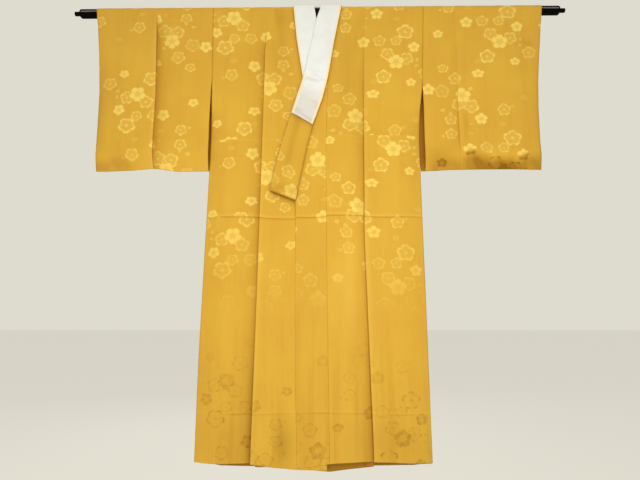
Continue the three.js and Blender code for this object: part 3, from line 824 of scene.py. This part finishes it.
def folded_strip(name, last_step, shares, back_shares, reach, plump, place_at, tone, foot, shade_at=None):
    """A strip folded over lengthwise: its face from the seam to the fold, round the fold, and back inside."""
    fine = np.linspace(0, 1, 41)
    surface, puff, free = collar_surface(last_step, fine)
    along = unit(np.gradient(surface, axis=0))
    across = unit(np.gradient(surface, axis=1))
    out = unit(np.cross(along, across))

    def at(field, u):
        k = u * (len(fine) - 1)
        low = np.minimum(np.floor(k).astype(int), len(fine) - 2)
        t = (k - low)[None, :, None]
        return field[:, low] * (1 - t) + field[:, low + 1] * t

    turns = np.linspace(0, math.pi, 9)[1:-1]
    u = np.concatenate([shares, np.ones(len(turns)), back_shares])
    angle = np.concatenate([np.zeros(len(shares)), turns, np.full(len(back_shares), math.pi)])
    middle, way_out, way_across = at(surface, u), at(out, u), at(across, u)
    crown = free[:, None] * (angle == 0) * plump * np.sin(u * math.pi) ** 0.8
    crown = crown + puff[:, None] * (angle == 0) * np.sin(u * math.pi * 0.9 + 0.2)
    rows = len(surface)
    end = np.minimum(np.arange(rows), rows - 1 - np.arange(rows))[:, None]
    keep = np.sin(clamp(end / foot) * math.pi / 2) if foot else 1
    outwards = (reach * np.cos(angle) + crown) * keep
    round_fold = reach * np.sin(angle) * keep * np.ones((rows, 1))
    points = middle + way_out * outwards[..., None] + way_across * round_fold[..., None]
    length = np.concatenate([[0], np.cumsum(np.linalg.norm(np.diff(surface[:, 20], axis=0), axis=1))])
    width = np.linalg.norm(surface[:, -1] - surface[:, 0], axis=1)
    places = place_at(length, width, u, angle)
    shade = None if shade_at is None else shade_at(length[:, None], u[None]) * (angle < 1)
    return grid(name, points, places, None, tone(points), shade)


def collar():
    shares = np.concatenate([[0, 0.01, 0.025, 0.05], np.linspace(0.09, 0.95, 14), [0.98, 1]])
    back = np.concatenate([[1], np.linspace(0.9, 0, 8)])

    def place_at(length, width, u, angle):
        x = COLLAR_PATTERN_AT[0] - width[:, None] * u
        y = COLLAR_PATTERN_AT[1] - length[:, None] + 0 * x
        return np.stack([np.where(angle > 1, x + COLLAR_INSIDE_AT, x), y], -1)

    def shade_at(length, u):
        """A little darker all over; painted shade in a trough along the middle, at the turn of its foot and
        along its seam edge; a painted highlight along its fold edge; and the painted shadow under the white
        cover's end.
        """
        hollow_shade = hump(u - 0.6 - 0.0006 * (length - 120), 0.13, 0.16) * rise(length, 50, 60)
        foot = near(length, 0.42, 3.2) + hump(length - 28 + 16 * u, 0.13, 11)
        edges = near(u, 0.1, 0.05) - near(1 - u, 0.09, 0.04)
        cover_end = beyond(222 - length, 0.5, 5)
        return (0.05 + hollow_shade + foot + edges) * rise(length, 250, -20) + cover_end * (length < 240)

    def tone(points):
        return motif_tone(points[..., 2])

    obj = folded_strip("collar_silk", COLLAR_STEPS, shares, back, reach=1 - SILK / 2, plump=1.1,
                       place_at=place_at, tone=tone, foot=5, shade_at=shade_at)
    return thicken(obj, SILK)


def white_cover():
    shares = np.concatenate([[0.014, 0.025, 0.045, 0.07], np.linspace(0.1, 0.96, 14), [0.985, 1]])
    back = np.concatenate([[1], np.linspace(0.9, 0.2, 8)])

    def place_at(length, width, u, angle):
        x = width[:, None] * (u + angle / 9)
        return np.stack([x, length[:, None] + 0 * x], -1)

    def tone(points):
        return 0 * points[..., 2]

    obj = folded_strip("white_cover_cloth", WHITE_STEPS, shares, back, reach=1.6, plump=1.7,
                       place_at=place_at, tone=tone, foot=0)
    return thicken(obj, WHITE_CLOTH)


def rod():
    """Round bar with bevelled ends and a thinner pin at each end."""
    tip = ROD_HALF + PIN_LENGTH
    half = [(0, tip), (PIN_RADIUS - PIN_BEVEL, tip), (PIN_RADIUS, tip - PIN_BEVEL),
            (PIN_RADIUS, ROD_HALF + 0.3), (7.4, ROD_HALF)]
    for k in range(6):
        a = k / 5 * math.pi / 2
        radius = ROD_RADIUS - ROD_ROUNDING * (1 - math.sin(a))
        half.append((radius, ROD_HALF - ROD_ROUNDING * (1 - math.cos(a))))
    half += [(ROD_RADIUS, ROD_HALF - 8), (ROD_RADIUS, ROD_HALF - 60)]
    profile = [(r, -along) for r, along in half] + [(r, along) for r, along in half[::-1]]
    sides = 96
    turn = np.arange(sides) * 2 * math.pi / sides
    points, faces = [(profile[0][1], 0, 0), (profile[-1][1], 0, 0)], []
    rings = profile[1:-1]
    for radius, along in rings:
        points += [(along, radius * math.cos(a), radius * math.sin(a)) for a in turn]
    for ring in range(len(rings) - 1):
        for k in range(sides):
            a, b = 2 + ring * sides + k, 2 + ring * sides + (k + 1) % sides
            faces.append((a, b, b + sides, a + sides))
    last = 2 + (len(rings) - 1) * sides
    for k in range(sides):
        n = (k + 1) % sides
        faces.append((0, 2 + n, 2 + k))
        faces.append((1, last + k, last + n))
    return smooth_mesh("rod_bar", points, faces)


# Materials


class Wire:
    """A socket in a shader, on which plain sums add Math nodes."""

    def __init__(self, shader, socket):
        self.shader = shader
        self.socket = socket

    def math(self, operation, other=None, third=None):
        values = [v for v in (self, other, third) if v is not None]
        return self.shader.node("ShaderNodeMath", {"operation": operation}, dict(enumerate(values)))

    def __add__(self, other):
        return self.math("ADD", other)

    __radd__ = __add__

    def __mul__(self, other):
        return self.math("MULTIPLY", other)

    __rmul__ = __mul__

    def __sub__(self, other):
        return self.math("SUBTRACT", other)

    def __rsub__(self, other):
        return self.shader.node("ShaderNodeMath", {"operation": "SUBTRACT"}, {0: other, 1: self})

    def __lt__(self, other):
        return self.math("LESS_THAN", other)

    def __gt__(self, other):
        return self.math("GREATER_THAN", other)


class Shader:
    """One material, whose nodes all come from the method node."""

    def __init__(self, name):
        self.material = bpy.data.materials.new(name)
        self.material.use_nodes = True
        self.tree = self.material.node_tree
        self.finish = self.tree.nodes["Principled BSDF"]

    def node(self, kind, settings=None, inputs=None, output=0):
        node = self.tree.nodes.new(kind)
        for key, value in (settings or {}).items():
            if key == "stops":
                for stop, (place, colour) in zip(node.color_ramp.elements, value):
                    stop.position, stop.color = place, colour
            else:
                setattr(node, key, value)
        for key, value in (inputs or {}).items():
            self.put(node.inputs[key], value)
        return Wire(self, node.outputs[output])

    def put(self, socket, value):
        if isinstance(value, Wire):
            self.tree.links.new(value.socket, socket)
        else:
            socket.default_value = value

    def set(self, **values):
        for name, value in values.items():
            self.put(self.finish.inputs[name.replace("_", " ")], value)

    def millimetres(self):
        """The place in the flat cloth."""
        uv = self.node("ShaderNodeUVMap", {"uv_map": "cloth"})
        return self.node("ShaderNodeVectorMath", {"operation": "SCALE"}, {0: uv, "Scale": 1000})

    def stretched(self, vector, shares):
        return self.node("ShaderNodeVectorMath", {"operation": "MULTIPLY"}, {0: vector, 1: shares})

    def noise(self, vector, scale=1, output=0, **inputs):
        return self.node("ShaderNodeTexNoise", {"noise_dimensions": "2D"},
                         {"Vector": vector, "Scale": scale, **inputs}, output)

    def stored(self, name):
        """A number that the mesh keeps at each corner."""
        return self.node("ShaderNodeAttribute", {"attribute_name": name}, output=2)

    def bump(self, height, strength, distance):
        return self.node("ShaderNodeBump", {}, {"Height": height, "Strength": strength, "Distance": distance})

    def split(self, vector):
        """The three numbers of a vector."""
        outputs = self.node("ShaderNodeSeparateXYZ", {}, {0: vector}).socket.node.outputs
        return [Wire(self, socket) for socket in outputs]

    def smooth_step(self, value, low, high):
        return self.node("ShaderNodeMapRange", {"interpolation_type": "SMOOTHSTEP"},
                         {"Value": value, "From Min": low, "From Max": high})

    def mix(self, factor, a, b):
        return self.node("ShaderNodeMix", {"data_type": "RGBA"},
                         {"Factor": factor, "A": a, "B": b}, output=2)

    def pick(self, factor, a, b):
        return self.node("ShaderNodeMix", {"data_type": "VECTOR"},
                         {"Factor": factor, 4: a, 5: b}, output=1)


def linear(r, g, b):
    """A colour from its sRGB bytes."""
    parts = [c / 255 for c in (r, g, b)]
    return tuple(c / 12.92 if c <= 0.04045 else ((c + 0.055) / 1.055) ** 2.4 for c in parts) + (1,)


# Chart of the damask, in millimetres across the cloth and down it. A blossom is filled (1) or outlined (-1).
# Its strength is how clearly it shows, and behind ones pass under the others.
CLOTH_REPEAT = (400, PATTERN_LENGTH)
FRONT_BLOSSOMS = table(
    "x y across down filled strength",
    (217, 107, 26, 25, 1, 1), (276, 100, 5.5, 5, 1, 0.55), (275, 118, 6, 5, 1, 0.5),
    (260, 168, 16, 13.5, 1, 0.95), (156, 203, 20, 14.5, 1, 1), (267, 62, 18.5, 18, 1, 1),
    (215, 43, 16, 15, -1, 0.7), (168, 43, 18, 17, -1, 0.7), (123, 47, 20.5, 19, 1, 1),
    (40, 82, 17, 13.5, 1, 0.95), (55, 187, 15.5, 13, -1, 0.75), (90, 218, 20, 19, -1, 0.85),
    (50, 255, 21, 20, -1, 0.5), (12, 250, 20, 19, 1, 1), (412, 250, 20, 19, 1, 1),
    (110, 268, 26, 25, 1, 1), (134, 248, 6, 6, 1, 0.65), (48, 311, 8, 5.5, 1, 0.6),
    (70, 319, 6, 4, 1, 0.55), (222, 310, 18.5, 18, -1, 0.7), (246, 301, 5, 5, 1, 0.35),
    (158, 337, 20, 19, 1, 1), (130, 351, 5, 4.5, 1, 0.4), (70, 338, 17.5, 16, -1, 0.75),
    (70, 2, 17, 16, -1, 0.75), (70, 380, 17, 16, -1, 0.75), (47, 8, 6, 4.5, 1, 0.55),
    (216, 353, 11, 8, 1, 0.25), (126, 379, 10, 6, 1, 0.25), (126, 1, 10, 6, 1, 0.25),
    (300, 140, 20.5, 18, -1, 0.65), (280, 275, 12, 9, 1, 0.22), (182, 152, 22.5, 21, -1, 0.95),
    (241, 15, 25, 23, -1, 0.9), (241, 393, 25, 23, -1, 0.9), (155, 166, 10, 8, 1, 0.18),
    (345, 60, 18, 17, 1, 0.9), (350, 190, 19, 18, -1, 0.8), (340, 330, 19, 18, -1, 0.7))
BEHIND_BLOSSOMS = table(
    "x y across down filled strength",
    (192, 83, 20, 19, -1, 0.75), (246, 97, 20, 19, -1, 0.75), (95, 295, 21, 19, -1, 0.75),
    (132, 300, 22, 20.5, -1, 0.9))
CODE = 0.02
FILLED_SIZE, OUTLINE_SIZE = 0.93, 0.98


def nearest_blossom(shader, place, chart):
    """The nearest blossom's own coordinates. Its third coordinate holds its kind and strength."""
    best, distance = None, None
    for x, y, across, down, filled, strength in zip(*chart.values()):
        size = FILLED_SIZE if filled > 0 else OUTLINE_SIZE
        across, down = across * size, down * size
        local = shader.node("ShaderNodeVectorMath", {"operation": "MULTIPLY_ADD"},
                            {0: place, 1: (1 / across, -1 / down, 0),
                             2: (-x / across, y / down, filled * strength * CODE)})
        length = shader.node("ShaderNodeVectorMath", {"operation": "LENGTH"}, {0: local}, output=1)
        if best is None:
            best, distance = local, length
            continue
        closer = length < distance
        best = shader.pick(closer, best, local)
        distance = distance.math("MINIMUM", length)
    return best, distance


def petal_edge(radius, cosine):
    """Distance outside the petals' round edges, in shares of the blossom's own radius."""
    return (radius * radius - radius * cosine * 1.1 + 0.3025).math("SQRT") - 0.44


def blossom_mask(shader, local, radius, turn, uneven):
    """How much of the blossom's own weave shows: petals, either filled or as a line, and the centre."""
    x, y, code = shader.split(local)
    fold = (x.math("ARCTAN2", y) + turn).math("PINGPONG", math.pi / 5)
    cosine = fold.math("COSINE")
    petal = petal_edge(radius, cosine)
    filled = code > 0
    strength = code.math("ABSOLUTE") * (1 / CODE)
    body = shader.smooth_step(petal, 0.03, -0.1).math("MAXIMUM", shader.smooth_step(radius, 0.42, 0.34))
    star = shader.smooth_step(radius * (1.42 - fold * 0.9), 0.62, 0.2)
    gaps = shader.smooth_step(fold, math.pi / 5 - 0.13, math.pi / 5) * shader.smooth_step(radius, 0.3, 0.5)
    solid = body * (1 - star * 0.5) * (1 - gaps * 0.14)
    tip = shader.smooth_step(radius, 0.68, 0.92) * 0.45 + 0.66
    line = shader.smooth_step((petal + 0.11).math("ABSOLUTE"), 0.22, 0.06)
    line = line * shader.smooth_step(radius, 0.54, 0.66)
    heart = shader.smooth_step(radius, 0.34, 0.1) * 0.75
    ring = shader.smooth_step((radius - 0.44).math("ABSOLUTE"), 0.12, 0.02) * 0.35
    drawn = (line * tip).math("MAXIMUM", ring) * uneven
    drawn = drawn.math("MAXIMUM", heart).math("MAXIMUM", body * 0.14)
    chosen = shader.node("ShaderNodeMix", {"data_type": "FLOAT"}, {"Factor": filled, "A": drawn, "B": solid})
    return chosen * strength, body


def silk_material():
    """Yellow satin damask: slubby threads down the cloth; blossoms painted lighter than their ground up high
    and darker lower down, a painted sheen of the light meeting them; and painted shade, deep shade and
    highlights that the mesh's shade attribute asks for."""
    s = Shader("yellow_damask")
    place = s.millimetres()
    wobble = s.noise(place, 0.16, output=1, Detail=2)
    drawn_at = s.node("ShaderNodeVectorMath", {"operation": "MULTIPLY_ADD"},
                      {0: wobble, 1: (5.6, 5.6, 0), 2: place})
    wrapped = s.node("ShaderNodeVectorMath", {"operation": "WRAP"},
                     {0: drawn_at, 1: (*CLOTH_REPEAT, 1), 2: (0, 0, 0)})
    patchy = s.noise(place, 0.085, Detail=1)
    uneven = s.smooth_step(patchy, 0.3, 0.55) * 0.5 + 0.55
    front, covers = blossom_mask(s, *nearest_blossom(s, wrapped, FRONT_BLOSSOMS), 0, uneven)
    behind, _ = blossom_mask(s, *nearest_blossom(s, wrapped, BEHIND_BLOSSOMS), math.pi / 5, uneven)
    blossoms = front.math("MAXIMUM", behind * (1 - covers))
    tone, shade = s.stored("tone"), s.stored("shade")
    threads = s.noise(s.stretched(place, (0.55, 0.014, 0)), Detail=5, Roughness=0.7)
    cloudy = s.noise(s.stretched(place, (0.012, 0.007, 0)), Detail=3)
    streaks = s.noise(s.stretched(place, (0.045, 0.0016, 0)), Detail=3)
    # Lower down, where the painted sheen turns darker; the weave's streaks show more there
    low = s.smooth_step(tone, 0.6, -0.8)
    ground = s.mix(s.smooth_step(threads, 0.3, 0.7), linear(219, 168, 55), linear(225, 174, 63))
    ground = s.mix(s.smooth_step(cloudy, 0.3, 0.75), ground, linear(226, 177, 61))
    ground = s.mix(s.smooth_step(streaks, 0.48, 0.72) * (low * 0.26 + 0.1), ground, linear(206, 150, 45))
    # Painted sheen: blossoms lighter than the ground where the tone is above zero
    light = s.mix(blossoms * s.smooth_step(tone, 0, 1) * 0.9, ground, linear(251, 217, 106))
    # Painted shade from the mesh's shade attribute: creases, lines, soft shadows, the collar's shadow, rolled
    # sleeve bottoms
    shaded = s.mix(shade * 1.7, light, linear(167, 118, 26))
    # Dark blossoms of the painted sheen lower down: patchy, clearest on rolled sleeve bottoms, darker in
    # painted shade
    faint = s.smooth_step(patchy, 0.4, 0.65) * 0.45 + 0.5 + s.smooth_step(tone, -0.9, -1.3) * 0.5
    dark = s.mix(shade * 2.2, linear(190, 140, 40), linear(142, 98, 12))
    motifs = s.mix(blossoms * (blossoms * 0.6 + 0.4) * s.smooth_step(tone, 0, -1) * faint, shaded, dark)
    # Painted deep shade in the slits and on the back's inner side by the hem
    hollow_shade = s.mix(s.smooth_step(shade, 0.6, 1.1), motifs, linear(188, 126, 50))
    # Painted highlight where the shade is below zero: crease lips, above the tuck and the hem's facing, the
    # hem's rim
    colour = s.mix(s.smooth_step(shade, 0, -0.1) * 0.35, hollow_shade, linear(244, 202, 92))
    weave = s.node("ShaderNodeTexWave", {"wave_type": "BANDS", "bands_direction": "DIAGONAL"},
                   {"Vector": place, "Scale": 0.42, "Distortion": 0.6, "Detail": 1})
    s.set(Base_Color=colour, Roughness=0.58 - blossoms * 0.08,
          Normal=s.bump(threads * 0.7 + weave * 0.12 + blossoms * 0.35, 0.22, 0.0006),
          Sheen_Weight=0.04, Sheen_Roughness=0.4, Specular_IOR_Level=0.18)
    return s.material


def white_material():
    """Plain white collar cloth, with a fine even weave, painted shade of soft creases, a stitched end that is
    darker towards its tip, and a painted pale yellow highlight along its edges and its fold.
    """
    s = Shader("white_collar_cloth")
    place = s.millimetres()
    from_edge, from_end, _ = s.split(place)
    across = s.node("ShaderNodeTexWave", {"bands_direction": "X"}, {"Vector": place, "Scale": 0.5})
    down = s.node("ShaderNodeTexWave", {"bands_direction": "Y"}, {"Vector": place, "Scale": 0.5})
    cloudy = s.noise(place, 0.03, Detail=3)
    soft = s.noise(s.stretched(place, (0.012, 0.05, 0)), Detail=2)
    clean = s.mix(s.smooth_step(cloudy, 0.35, 0.75), linear(246, 247, 242), linear(242, 242, 235))
    # Darker towards its end, in soft patches
    darker_to_end = s.smooth_step(from_end, 118, 40) * (s.smooth_step(soft, 0.38, 0.6) * 0.35 + 0.65)
    # Painted shade of soft creases, further from the end
    crease_shade = s.smooth_step(from_end, 175, 90) * s.smooth_step(soft, 0.56, 0.72) * 0.6
    darkened = s.mix(darker_to_end.math("MAXIMUM", crease_shade), clean, linear(221, 209, 196))
    seam = s.smooth_step((from_end - 11).math("ABSOLUTE"), 1.6, 0.3) * 0.5
    stitched = s.mix(seam, darkened, linear(190, 178, 164))
    # Painted highlight, tinted pale yellow, along the outer edges and the fold's edge
    fold_highlight = s.smooth_step(from_edge, 60.5, 62.5) * s.smooth_step(from_end, 128, 116)
    edge_highlight = (s.smooth_step(from_edge, 7.4, 5.4) + fold_highlight) * 0.85
    colour = s.mix(edge_highlight, stitched, linear(255, 238, 194))
    s.set(Base_Color=colour, Roughness=0.62 + across * 0.04, Normal=s.bump(across * down, 0.12, 0.0003),
          Sheen_Weight=0.1)
    return s.material


def rod_material():
    """Black gloss paint, a little uneven, with fine rubbed marks."""
    s = Shader("black_gloss_paint")
    spot = s.node("ShaderNodeTexCoord", {}, {}, output=3)
    rub = s.node("ShaderNodeTexNoise", {},
                 {"Vector": s.stretched(spot, (40, 500, 500)), "Scale": 1, "Detail": 4})
    colour = s.mix(s.smooth_step(rub, 0.45, 0.8), linear(7, 6, 4), linear(16, 13, 9))
    s.set(Base_Color=colour, Roughness=0.13 + s.smooth_step(rub, 0.3, 0.8) * 0.08,
          Normal=s.bump(rub, 0.04, 0.0004), Specular_IOR_Level=1)
    return s.material


# Putting it together

silk, white, black = silk_material(), white_material(), rod_material()


def place_piece(obj, node, material):
    obj.data.materials.append(material)
    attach(obj, BODY)
    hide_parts(node)
    return obj


for side in ("right", "left"):
    place_piece(body_panel(side), f"body_{side}", silk)
    place_piece(sleeve(side), f"sleeve_{side}", silk)
    place_piece(front_band(side), f"front_band_{side}", silk)
place_piece(collar(), "collar", silk)
place_piece(white_cover(), "white_collar_cover", white)
place_piece(rod(), "rod", black)


# Room, light and camera

FLOOR = -1650
FLOOR_HALF = 20000
FLOOR_GLOW = 0.84

# How bright the walls are on what they light, in what shines, and to the eye
WALLS_LIT, WALLS_MIRRORED, WALLS_SEEN = 0.42, 0.03, 1

# Soft lights: place, what it points at, width and height, watts, and whether what shines mirrors it
LIGHTS = {
    "front": ((0.02, -1.45, -0.66), (0, 0, -0.8), (1.2, 0.7), 13, False),
    "high_right": ((-1.75, -1.9, 1.75), (-0.67, 0, 0), (0.5, 2), 6, True),
    "high_left": ((1.75, -1.9, 1.75), (0.67, 0, 0), (0.5, 2), 6, True),
    "behind": ((-0.6, 2.6, 0.7), (0, 0, -0.6), (2, 1.4), 30, True),
    "above": ((0, 0.15, 1.9), (0, 0, 0), (2, 0.5), 11, True),
}

# The camera's place, its tilt and turn in degrees, and its focal length in shares of the picture's width
CAMERA_AT = (0.0196, -1.287, -0.8626)
CAMERA_TILT, CAMERA_TURN = 8.5, 0.68
CAMERA_FOCAL = 481 / 640
SENSOR = 36


def floor():
    corners = [(x * FLOOR_HALF, y * FLOOR_HALF, FLOOR) for x, y in ((-1, -1), (1, -1), (1, 1), (-1, 1))]
    mesh = bpy.data.meshes.new("floor")
    mesh.from_pydata([tuple(c * MM for c in p) for p in corners], [], [(0, 1, 2, 3)])
    obj = bpy.data.objects.new("floor", mesh)
    bpy.context.collection.objects.link(obj)
    s = Shader("pale_floor")
    s.set(Base_Color=linear(128, 126, 120), Roughness=0.9, Emission_Color=linear(222, 219, 206),
          Emission_Strength=FLOOR_GLOW)
    obj.data.materials.append(s.material)
    obj.visible_glossy = False


def soft_light(name, place, towards, size, power, mirrored):
    light = bpy.data.lights.new(name, "AREA")
    light.shape = "RECTANGLE"
    light.size, light.size_y = size
    light.energy = power
    obj = bpy.data.objects.new(name, light)
    obj.location = place
    obj.rotation_mode = "QUATERNION"
    obj.rotation_quaternion = (Vector(towards) - Vector(place)).to_track_quat("-Z", "Y")
    obj.visible_camera = False
    obj.visible_glossy = mirrored
    bpy.context.collection.objects.link(obj)


def room():
    """A pale room. Its walls light the cloth less than they seem to, and are dim in what shines."""
    world = bpy.data.worlds.new("pale_room")
    world.use_nodes = True
    tree = world.node_tree

    def walls(colour, strength):
        node = tree.nodes.new("ShaderNodeBackground")
        node.inputs["Color"].default_value = colour
        node.inputs["Strength"].default_value = strength
        return node

    def choose(switch, no, yes):
        node = tree.nodes.new("ShaderNodeMixShader")
        for k, source in enumerate((switch, no, yes)):
            tree.links.new(source, node.inputs[k])
        return node.outputs[0]

    ray = tree.nodes.new("ShaderNodeLightPath").outputs
    lit = walls(linear(226, 224, 214), WALLS_LIT).outputs[0]
    mirrored = walls(linear(226, 224, 214), WALLS_MIRRORED).outputs[0]
    seen = walls(linear(222, 220, 207), WALLS_SEEN).outputs[0]
    light = choose(ray["Is Camera Ray"], choose(ray["Is Glossy Ray"], lit, mirrored), seen)
    tree.links.new(light, tree.nodes["World Output"].inputs["Surface"])
    bpy.context.scene.world = world
    floor()
    for name, values in LIGHTS.items():
        soft_light(name, *values)


def camera():
    data = bpy.data.cameras.new("camera")
    data.sensor_width = SENSOR
    data.lens = SENSOR * CAMERA_FOCAL
    obj = bpy.data.objects.new("camera", data)
    obj.location = CAMERA_AT
    obj.rotation_euler = (math.radians(90 + CAMERA_TILT), 0, math.radians(CAMERA_TURN))
    bpy.context.collection.objects.link(obj)
    bpy.context.scene.camera = obj


room()
camera()
bpy.context.scene.view_settings.view_transform = "Standard"
